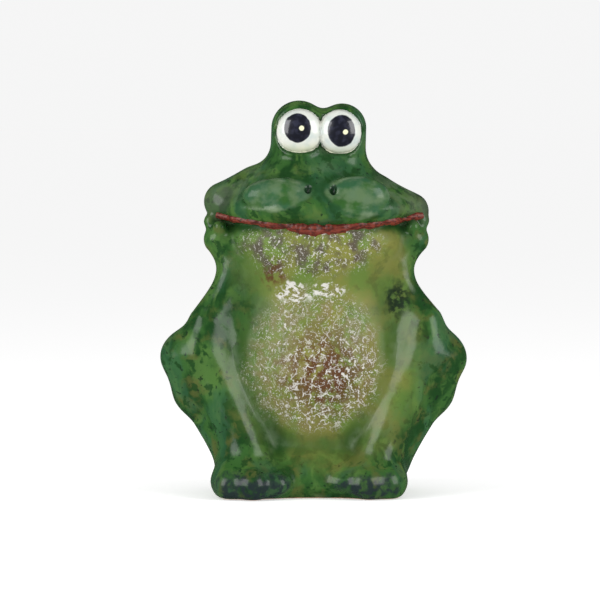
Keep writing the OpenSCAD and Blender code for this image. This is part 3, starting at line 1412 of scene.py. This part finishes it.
    def pooled(self, g: Graph, colour: Socket) -> Socket:
        """Returns the colour, darker in hollows, partly from pooled glaze and partly as painted shade, and
        thinner over sharp edges.

        Args:
            g: The material's nodes.
            colour: The colour under it.

        Returns:
            The colour with the pools and the thin edges.
        """
        s = self.shades
        hollow, edge = g.attribute("hollow"), g.attribute("edge")
        # Darker in hollows and creases: partly glaze pooled there, partly painted shade.
        pooled_shade_share = g.both(g.step(hollow, 0.12, 0.56), 0.74)
        colour = g.mix(pooled_shade_share, colour, s.bottle)
        thin = g.both(g.step(edge, 0.26, 0.66), g.step(g.noise(4.0, 15.0), 0.36, 0.62), 0.30)
        return g.mix(thin, colour, s.pale)

    def smudged(self, g: Graph, colour: Socket) -> Socket:
        """Returns the colour with a dark smudge by the right arm and a brown one on the throat.

        Args:
            g: The material's nodes.
            colour: The colour under it.

        Returns:
            The colour with the smudges on it.
        """
        s = self.shades
        form = self.trunk.chest
        torn = g.warped(4.0, 9.0, 12.3)
        kept = g.step(g.noise(2.6, 24.0, detail=5.0), 0.38, 0.54)
        by_arm = self.smudge_by_arm.share(g, form, torn)
        on_throat = self.smudge_on_throat.share(g, form, torn)
        colour = g.mix(g.both(by_arm, kept, 0.9), colour, s.ink)
        return g.mix(g.both(on_throat, kept, 0.85), colour, s.rust)

    def crackle(self, g: Graph, colour: Socket) -> tuple[Socket, Socket]:
        """Lays the broken white net over the belly and under the lips.

        Args:
            g: The material's nodes.
            colour: The colour under it.

        Returns:
            The colour with the net, and the net's own height.
        """
        s = self.shades
        form = self.trunk.belly
        loose = g.warped(8.0, 11.0, 6.3)
        front = g.step(g.y, -8.0, -22.0)
        disc = self.net.share(g, form, loose)
        heart = self.heart.share(g, form, g.warped(8.0, 12.0, 7.9))
        dense = self.dense.share(g, form, loose)
        lips = g.both(self.under_lips.share(g, form, loose), g.step(g.z, *self.under_lips_top))
        rusted = g.step(g.noise(4.0, 16.0, detail=6.0), 0.36, 0.56)
        haze = g.both(disc, g.step(g.noise(5.0, 17.0, detail=6.0), 0.36, 0.62), 0.60, front)
        colour = g.mix(haze, colour, s.tan)
        colour = g.mix(g.both(heart, rusted, 0.9, front), colour, s.rust)
        # Painted shadow under the jaw: mauve on the throat below the lips.
        jaw_shadow = g.both(lips, g.step(g.noise(6.0, 18.0, detail=6.0), 0.42, 0.62), 0.85, front)
        colour = g.mix(jaw_shadow, colour, s.mauve)

        wide = g.step(g.cracks(3.9, g.warped(1.6, 2.2, 8.1)), 0.075, 0.025)
        fine = g.step(g.cracks(2.0, g.warped(1.0, 1.4, 9.3)), 0.12, 0.04)
        kept = g.step(g.noise(2.4, 19.0, detail=4.0), 0.48, 0.56)
        kept_fine = g.step(g.noise(1.5, 20.0, detail=3.0), 0.54, 0.60)
        specks = g.step(g.noise(0.7, 21.0, detail=2.0), 0.63, 0.68)
        coarse = g.both(wide, kept, g.math("ADD", g.both(dense, 0.72), 0.28))
        thin = g.both(fine, kept_fine)
        scattered = g.math("ADD", g.both(g.step(g.noise(11.0, 24.0, detail=3.0), 0.40, 0.60), 0.5), 0.5)
        net = g.math("MAXIMUM", g.both(thin, scattered), g.both(specks, 0.8))
        net = g.math("MAXIMUM", coarse, net)
        on_belly = g.both(net, disc)
        on_lips = g.both(g.math("MAXIMUM", thin, specks), lips, 0.8)
        jagged = g.warped(3.5, 13.0, 10.7)
        splash = g.math("MAXIMUM", *[patch.share(g, form, jagged) for patch in self.splashes])
        drawn = g.vector("MULTIPLY", g.warped(3.0, 4.0, 29.1), (0.45, 1.0, 1.0))
        splash = g.both(splash, g.step(g.noise(1.5, 22.0, drawn, 4.0), 0.46, 0.54))
        chalk = g.both(g.math("MAXIMUM", g.math("MAXIMUM", on_belly, on_lips), splash), front)
        return g.mix(g.both(chalk, 0.92), colour, s.chalk), chalk

    def bare_rim(self, g: Graph) -> Socket:
        """Returns where the seat stood on the kiln shelf and took no glaze."""
        return g.step(g.wavered(g.z, 4.0, 23.0, 0.8), 0.85, 0.55)


@dataclass(frozen=True)
class EyeEnamel:
    """White enamel with a dark pupil and a cream dot."""

    name: str
    pupil: Point
    pupil_half: tuple[float, float]
    dot: Point
    dot_radius: float = 1.15
    white: Colour = (0.80, 0.80, 0.72)
    grey: Colour = (0.62, 0.68, 0.64)
    cream: Colour = (0.74, 0.74, 0.46)
    blue: Colour = (0.45, 0.55, 0.56)
    black: Colour = (0.006, 0.007, 0.016)
    violet: Colour = (0.022, 0.024, 0.045)
    spark: Colour = (0.80, 0.80, 0.55)
    # The colour of the painted shade in the crease round the eye.
    soil: Colour = (0.20, 0.26, 0.14)
    gloss: Gloss = Gloss(0.28, coat=1.0, coat_roughness=0.05)

    def material(self) -> bpy.types.Material:
        """Paints the eye.

        Returns:
            The finished material.
        """
        g = Graph(self.name)
        loose = g.warped(3.0, 0.8, 1.3)
        white = g.mix(g.step(g.noise(6.0, 1.0), 0.40, 0.66), self.white, self.grey)
        x, y, z = self.pupil
        yellow = g.both(g.step(g.z, z - 5.5, z - 10.0), 0.55)
        white = g.mix(yellow, white, self.cream)
        ring = g.spot((x, y, z), (self.pupil_half[0] + 2.6, 30.0, self.pupil_half[1] + 2.6), 0.22, loose)
        white = g.mix(g.both(ring, 0.25), white, self.blue)
        half = (self.pupil_half[0], 30.0, self.pupil_half[1])
        dark = g.mix(g.step(g.noise(2.5, 2.0), 0.46, 0.66), self.black, self.violet)
        colour = g.mix(g.spot(self.pupil, half, 0.035, loose), white, dark)
        round_dot = (self.dot_radius, 30.0, self.dot_radius)
        colour = g.mix(g.spot(self.dot, round_dot, 0.14, loose), colour, self.spark)
        # Painted shade in the crease round the eye, where the skin is hollow.
        soil = g.both(g.step(g.attribute("hollow"), 0.22, 0.6), g.step(g.noise(1.6, 3.0), 0.42, 0.6), 0.35)
        colour = g.mix(soil, colour, self.soil)
        g.put(g.shader.inputs["Base Color"], colour)
        normal = g.bump(g.noise(3.5, 4.0, detail=2.0), 0.12)
        g.put(g.shader.inputs["Normal"], normal)
        g.put(g.shader.inputs["Coat Normal"], normal)
        self.gloss.set_on(g.shader)
        return g.material


@dataclass(frozen=True)
class LipEnamel:
    """Brick-red enamel, streaked along the brush stroke."""

    name: str = "lip enamel"
    dark: Colour = (0.070, 0.012, 0.008)
    red: Colour = (0.20, 0.034, 0.018)
    worn_through: Colour = (0.045, 0.055, 0.02)
    gloss: Gloss = Gloss(0.45, coat=0.4, coat_roughness=0.22, specular=0.2)

    def material(self) -> bpy.types.Material:
        """Paints the lips.

        Returns:
            The finished material.
        """
        g = Graph(self.name)
        drawn = g.vector("MULTIPLY", g.at, (0.18, 1.0, 1.0))
        colour = g.mix(g.step(g.noise(0.9, 1.0, drawn, 5.0), 0.38, 0.62), self.dark, self.red)
        worn = g.both(g.step(g.noise(1.4, 2.0, detail=5.0), 0.64, 0.72), 0.5)
        colour = g.mix(worn, colour, self.worn_through)
        g.put(g.shader.inputs["Base Color"], colour)
        normal = g.bump(g.noise(0.9, 3.0, drawn, 3.0), 0.25)
        g.put(g.shader.inputs["Normal"], normal)
        g.put(g.shader.inputs["Coat Normal"], normal)
        self.gloss.set_on(g.shader)
        return g.material


@dataclass(frozen=True)
class BareClay:
    """Unglazed clay, grainy and matt."""

    name: str = "bare clay"
    fired: Colour = (0.42, 0.24, 0.14)
    sandy: Colour = (0.60, 0.38, 0.25)
    grit: Colour = (0.20, 0.11, 0.07)
    gloss: Gloss = Gloss(0.88, specular=0.25)

    def material(self) -> bpy.types.Material:
        """Makes the clay.

        Returns:
            The finished material.
        """
        g = Graph(self.name)
        colour = g.mix(g.step(g.noise(8.0, 1.0), 0.38, 0.64), self.fired, self.sandy)
        colour = g.mix(g.both(g.step(g.noise(0.6, 2.0), 0.62, 0.70), 0.6), colour, self.grit)
        g.put(g.shader.inputs["Base Color"], colour)
        grain = g.math("ADD", g.noise(0.5, 3.0), g.noise(2.5, 4.0))
        g.put(g.shader.inputs["Normal"], g.bump(grain, 0.18))
        self.gloss.set_on(g.shader)
        return g.material


@dataclass(frozen=True)
class StopperRubber:
    """Black rubber with a dusty bloom."""

    name: str = "stopper rubber"
    black: Colour = (0.018, 0.018, 0.019)
    bloom: Colour = (0.045, 0.044, 0.042)
    gloss: Gloss = Gloss(0.62, specular=0.4)

    def material(self) -> bpy.types.Material:
        """Makes the rubber.

        Returns:
            The finished material.
        """
        g = Graph(self.name)
        colour = g.mix(g.step(g.noise(5.0, 1.0, detail=6.0), 0.40, 0.66), self.black, self.bloom)
        g.put(g.shader.inputs["Base Color"], colour)
        g.put(g.shader.inputs["Roughness"], g.step(g.noise(3.0, 2.0), -0.6, 0.9))
        g.put(g.shader.inputs["Normal"], g.bump(g.noise(0.4, 3.0), 0.05))
        self.gloss.set_on(g.shader)
        return g.material


# ---------------------------------------------------------------- sub-assemblies


def node_box(node: str) -> tuple[Array, Array]:
    """Returns a node's lowest and highest corners, in millimetres."""
    low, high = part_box(node)
    return np.array(low) / MM, np.array(high) / MM


def fitted_ball(node: str, spread: float) -> Ball:
    """Returns the ellipsoid of a node's box, spread along X and downwards, and a little proud.

    Args:
        node: The node's name.
        spread: How far it is moved along X and grown, in millimetres.

    Returns:
        The ellipsoid.
    """
    low, high = node_box(node)
    middle, half = (low + high) / 2, (high - low) / 2
    grow = abs(spread)
    place = (middle[0] + spread, middle[1] - 1.6 * grow, middle[2] - grow)
    return Ball(place, (half[0] + grow, half[1], half[2] + grow))


def settled(piece: bpy.types.Object, body: str, slot: str, node: str) -> None:
    """Rides a piece on its body in the place of its node, and reports it.

    Args:
        piece: The finished piece.
        body: The body it moves with.
        slot: The record's material slot of its finish. Not used.
        node: The CAD node that it stands for.
    """
    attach(piece, body)
    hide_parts(node)
    LOG.info("%s: %d faces, on %s", piece.name, len(piece.data.polygons), body)


@dataclass
class Ceramic:
    """The glazed ceramic pieces, cut from one skin."""

    figure: Figure
    pitch: float
    thick_wall: float = 4.5
    thin_wall: float = 1.6
    thin: tuple[str, ...] = ("hand", "eye")

    def build(self, green: bpy.types.Material, olive: bpy.types.Material,
              whites: dict[str, bpy.types.Material]) -> None:
        """Builds and dresses every ceramic piece.

        Args:
            green: The glaze of the limbs, the head and the back.
            olive: The glaze of the belly.
            whites: The enamel of each eye, by the eye's node.
        """
        skin = Skin(self.figure, self.pitch)
        for node, triangles in skin.patches().items():
            wall = self.thin_wall if node.startswith(self.thin) else self.thick_wall
            piece = Piece(f"{node.removesuffix('_shell')}_ceramic", skin, triangles, wall).build()
            finish, slot = green, "green_glaze"
            if node in whites:
                finish, slot = whites[node], "eye_enamel"
            elif node == "belly_shell":
                finish, slot = olive, "olive_glaze"
            piece.data.materials.append(finish)
            settled(piece, FIGURE, slot, node)


@dataclass
class Lips:
    """The red bead that is drawn along the mouth with a loaded brush."""

    figure: Figure
    start_x: float = -43.5
    end_x: float = 49.0
    middle_x: float = 3.0
    dip_z: float = 120.6
    corner_rise: float = 5.2
    half_width: float = 3.7
    proud: float = 1.5
    wave: float = 0.8
    bow: float = 1.4
    bow_half: float = 8.0
    back_y: float = 10.0
    thinning: float = 0.72
    sinking: float = 0.45
    step: float = 0.6
    sections: int = 90

    def path(self) -> list[Point]:
        """Returns the points that the bead follows, on the skin.

        Returns:
            The points, in millimetres, from the left end to the right.
        """
        points = []
        for k in range(self.sections + 1):
            x = self.start_x + (self.end_x - self.start_x) * k / self.sections
            reach = abs(x - self.middle_x) / (self.end_x - self.middle_x)
            ripple = 0.35 * math.sin(x * 0.42) + 0.2 * math.sin(x * 0.95 + 1.0)
            bow = self.bow * math.exp(-((x - self.middle_x) / self.bow_half) ** 2)
            z = self.dip_z + self.corner_rise * reach ** 1.5 + ripple * (1 - reach) - bow
            y = self.figure.surface_y(x, z)
            if y < self.back_y:
                proud = self.proud * (1 - self.sinking * reach)
                sunk = self.half_width * (1 - self.thinning * reach) - proud
                points.append((x, y + sunk, z))
        return points

    def build(self, finish: bpy.types.Material) -> None:
        """Sweeps the bead and lays it on the lips.

        Args:
            finish: The bead's material.
        """
        points = np.array(self.path()) * MM
        line = bpy.data.meshes.new("lip line")
        line.from_pydata(points.tolist(), [(k, k + 1) for k in range(len(points) - 1)], [])
        guide = bpy.data.objects.new("lip line", line)
        bpy.context.scene.collection.objects.link(guide)
        sweep = guide.modifiers.new("bead", "NODES")
        sweep.node_group = bead_tree()
        sizes = {SweepInput.WIDE: self.half_width * MM, SweepInput.WAVE: self.wave * MM,
                 SweepInput.STEP: self.step * MM, SweepInput.FINISH: finish}
        for socket in sweep.node_group.interface.items_tree:
            if socket.in_out == "INPUT" and socket.name != "Geometry":
                sweep[socket.identifier] = sizes[SweepInput(socket.name)]
        seen = guide.evaluated_get(bpy.context.evaluated_depsgraph_get())
        mesh = bpy.data.meshes.new_from_object(seen)
        bpy.data.objects.remove(guide)
        mesh.polygons.foreach_set("use_smooth", [True] * len(mesh.polygons))
        bead = bpy.data.objects.new("lip_brushed_bead", mesh)
        bpy.context.scene.collection.objects.link(bead)
        settled(bead, FIGURE, "lip_enamel", "lip_bead")


@dataclass
class BaseClosure:
    """The clay disc in the seat, and the rubber stopper that plugs its hole."""

    edge: float = 0.5
    lip: float = 0.8
    dimple: float = 0.9
    plug: float = 14.94
    gap: float = 0.06
    flange: float = 3.7
    nose_taper: float = 1.6
    nose_height: float = 2.0
    nose_wall: float = 4.5
    hollow_depth: float = 3.0

    def build(self, clay: bpy.types.Material, rubber: bpy.types.Material) -> None:
        """Turns both pieces to the sizes of their nodes.

        Args:
            clay: The disc's material.
            rubber: The stopper's material.
        """
        low, high = node_box("base_disc")
        outer = (high[0] - low[0]) / 2
        inner = self.plug + self.gap
        square = [(inner + 1, low[2]), (outer, low[2]), (outer, high[2]), (inner, high[2]), (inner, low[2]),
                  (inner + 1, low[2])]
        disc = turned("base_disc_clay", eased(square, self.edge)[:-1], closed=True)
        disc.data.materials.append(clay)
        settled(disc, FIGURE, "bare_clay", "base_disc")
        stopper = turned("stopper_rubber", self.stopper_profile(), closed=False)
        stopper.data.materials.append(rubber)
        settled(stopper, STOPPER, "stopper_rubber", "stopper")

    def stopper_profile(self) -> list[tuple[float, float]]:
        """Returns the stopper's profile, from the middle of its face to the tip of its nose.

        Returns:
            Pairs of radius and height, in millimetres.
        """
        low, high = node_box("stopper")
        rim = (high[0] - low[0]) / 2
        plug = self.plug
        face, tip = low[2], high[2]
        floor = tip - self.hollow_depth
        corners = [(0.0, face + self.dimple), (rim * 0.45, face + self.dimple), (rim * 0.55, face),
                   (rim, face), (rim, self.flange), (plug, self.flange), (plug, tip - self.nose_height),
                   (plug - self.nose_taper, tip), (plug - self.nose_wall, tip),
                   (plug - self.nose_wall - 1.0, floor), (0.0, floor)]
        return eased(corners, self.lip)


@dataclass(frozen=True)
class Softbox:
    """A soft light: its place and its width and height in metres, and its power in watts."""

    name: str
    place: Point
    size: tuple[float, float]
    power: float


@dataclass
class Studio:
    """The pale floor, the soft lights and the camera."""

    softboxes: tuple[Softbox, ...] = (
        Softbox("left softbox", (-0.95, -0.66, 0.50), (0.70, 1.00), 8.0),
        Softbox("right softbox", (1.00, -0.62, 0.50), (0.70, 1.00), 7.5))
    aim: Point = (-0.0061, 0.0, 0.0872)
    distance: float = 1.8
    half_view: float = 0.1357
    elevation: float = 2.5
    floor_half: float = 160.0
    floor_white: float = 0.93
    sensor: float = 36.0
    ambient: float = 0.60
    room_gloss: float = 0.08
    glow: float = 0.36

    def build(self) -> None:
        """Builds the whole stage."""
        self.floor()
        self.room()
        for box in self.softboxes:
            self.hang(box)
        self.camera()

    def floor(self) -> None:
        """Lays the floor."""
        half = self.floor_half
        mesh = bpy.data.meshes.new("floor")
        corners = [(-half, -half, 0), (half, -half, 0), (half, half, 0), (-half, half, 0)]
        mesh.from_pydata(corners, [], [(0, 1, 2, 3)])
        floor = bpy.data.objects.new("floor", mesh)
        bpy.context.scene.collection.objects.link(floor)
        g = Graph("pale floor")
        g.put(g.shader.inputs["Base Color"], (self.floor_white,) * 3)
        g.put(g.shader.inputs["Emission Color"], (1.0, 1.0, 1.0))
        g.put(g.shader.inputs["Emission Strength"], self.glow)
        Gloss(0.9, specular=0.0).set_on(g.shader)
        mesh.materials.append(g.material)
        floor.visible_glossy = False
        floor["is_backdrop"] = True

    def room(self) -> None:
        """Lights the room evenly, and keeps its own reflection in the glaze dim."""
        world = bpy.data.worlds.new("studio")
        bpy.context.scene.world = world
        world.use_nodes = True
        tree = world.node_tree
        back = tree.nodes["Background"]
        back.inputs["Color"].default_value = (1.0, 1.0, 1.0, 1.0)
        ray = tree.nodes.new("ShaderNodeLightPath")
        level: Value = self.ambient
        seen = self.glow + self.floor_white * self.ambient
        for kind, strength in (("Is Glossy Ray", self.room_gloss), ("Is Camera Ray", seen)):
            choice = tree.nodes.new("ShaderNodeMix")
            tree.links.new(ray.outputs[kind], choice.inputs[0])
            if isinstance(level, bpy.types.NodeSocket):
                tree.links.new(level, choice.inputs[2])
            else:
                choice.inputs[2].default_value = level
            choice.inputs[3].default_value = strength
            level = choice.outputs[0]
        tree.links.new(level, back.inputs["Strength"])

    def hang(self, box: Softbox) -> None:
        """Hangs a soft light that faces the frog.

        Args:
            box: The light.
        """
        lamp = bpy.data.lights.new(box.name, "AREA")
        lamp.shape = "RECTANGLE"
        lamp.size, lamp.size_y = box.size
        lamp.energy = box.power
        light = bpy.data.objects.new(box.name, lamp)
        light.location = box.place
        light.rotation_euler = (Vector(self.aim) - light.location).to_track_quat("-Z", "Y").to_euler()
        bpy.context.scene.collection.objects.link(light)

    def camera(self) -> None:
        """Places the camera, a little above the middle of the frog and straight ahead."""
        lens = bpy.data.cameras.new("camera")
        lens.sensor_width = self.sensor
        lens.lens = self.sensor / 2 * self.distance / self.half_view
        camera = bpy.data.objects.new("camera", lens)
        rise = math.radians(self.elevation)
        aim = Vector(self.aim)
        camera.location = aim + Vector((0, -math.cos(rise), math.sin(rise))) * self.distance
        camera.rotation_euler = (aim - camera.location).to_track_quat("-Z", "Y").to_euler()
        bpy.context.scene.collection.objects.link(camera)
        bpy.context.scene.camera = camera
        bpy.context.scene.view_settings.view_transform = "Standard"


def frog_figure() -> Figure:
    """Puts the frog's forms together, with its eyes and its base hole from the frame.

    Returns:
        The figure, its nostrils sunk where the skin is.
    """
    eyes = [Eye(side, fitted_ball(f"eye_{side.word}", -0.5 * side.value)) for side in Side]
    kinds = (Hand, Arm, Thigh, Shin, Foot)
    limbs = {f"{kind.__name__.lower()}_{side.word}": kind(side) for kind in kinds for side in Side}
    low, high = node_box("base_disc")
    hole = BaseHole((high[0] - low[0]) / 2 + 0.1, high[2])
    head = Head()
    figure = Figure(Trunk(), head, eyes, limbs, hole, CoinSlot())
    for x, z in head.nostril_places:
        y = figure.surface_y(x, z) + head.nostril_sink
        figure.nostrils.append(Ball((x, y, z), head.nostril_half))
    return figure


@dataclass(frozen=True)
class Gaze:
    """Where one eye looks: its pupil's and its spark's places, across and up, from the eye's middle."""

    pupil: tuple[float, float]
    half: tuple[float, float]
    spark: tuple[float, float]


GAZES = {Side.LEFT: Gaze((-0.9, 1.6), (6.1, 6.7), (0.9, 1.5)),
         Side.RIGHT: Gaze((0.7, 0.6), (6.3, 7.0), (2.5, 0.0))}


def eye_paint(eye: Eye) -> EyeEnamel:
    """Returns the paint of one eye.

    Args:
        eye: The eye.

    Returns:
        Its enamel.
    """
    x, y, z = eye.bulge.middle
    wide, _, tall = eye.bulge.half
    gaze = GAZES[eye.side]
    pupil = (x + gaze.pupil[0], y, z + gaze.pupil[1])
    spark = (x + gaze.spark[0], y, z + gaze.spark[1])
    half = (gaze.half[0], gaze.half[1] * (tall / wide))
    return EyeEnamel(f"{eye.side.word} eye enamel", pupil, half, spark)


def main() -> None:
    """Builds the frog and its studio."""
    logging.basicConfig(level=logging.INFO, format="%(name)s: %(message)s")
    figure = frog_figure()
    nostrils = tuple(figure.nostrils)
    green = Glaze("green glaze", figure.trunk, figure.head, nostrils).material()
    olive = Glaze("olive glaze", figure.trunk, figure.head, nostrils, gloss=SATIN).material()
    whites = {f"eye_{eye.side.word}": eye_paint(eye).material() for eye in figure.eyes}
    Ceramic(figure, FULL_PITCH).build(green, olive, whites)
    Lips(figure).build(LipEnamel().material())
    BaseClosure().build(BareClay().material(), StopperRubber().material())
    Studio().build()
    boxes = {"cad": CAD_BOX, "visual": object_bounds()}
    ({name: [[float(part) for part in corner] for corner in box]
               for name, box in boxes.items()})


if __name__ == "__main__":
    main()
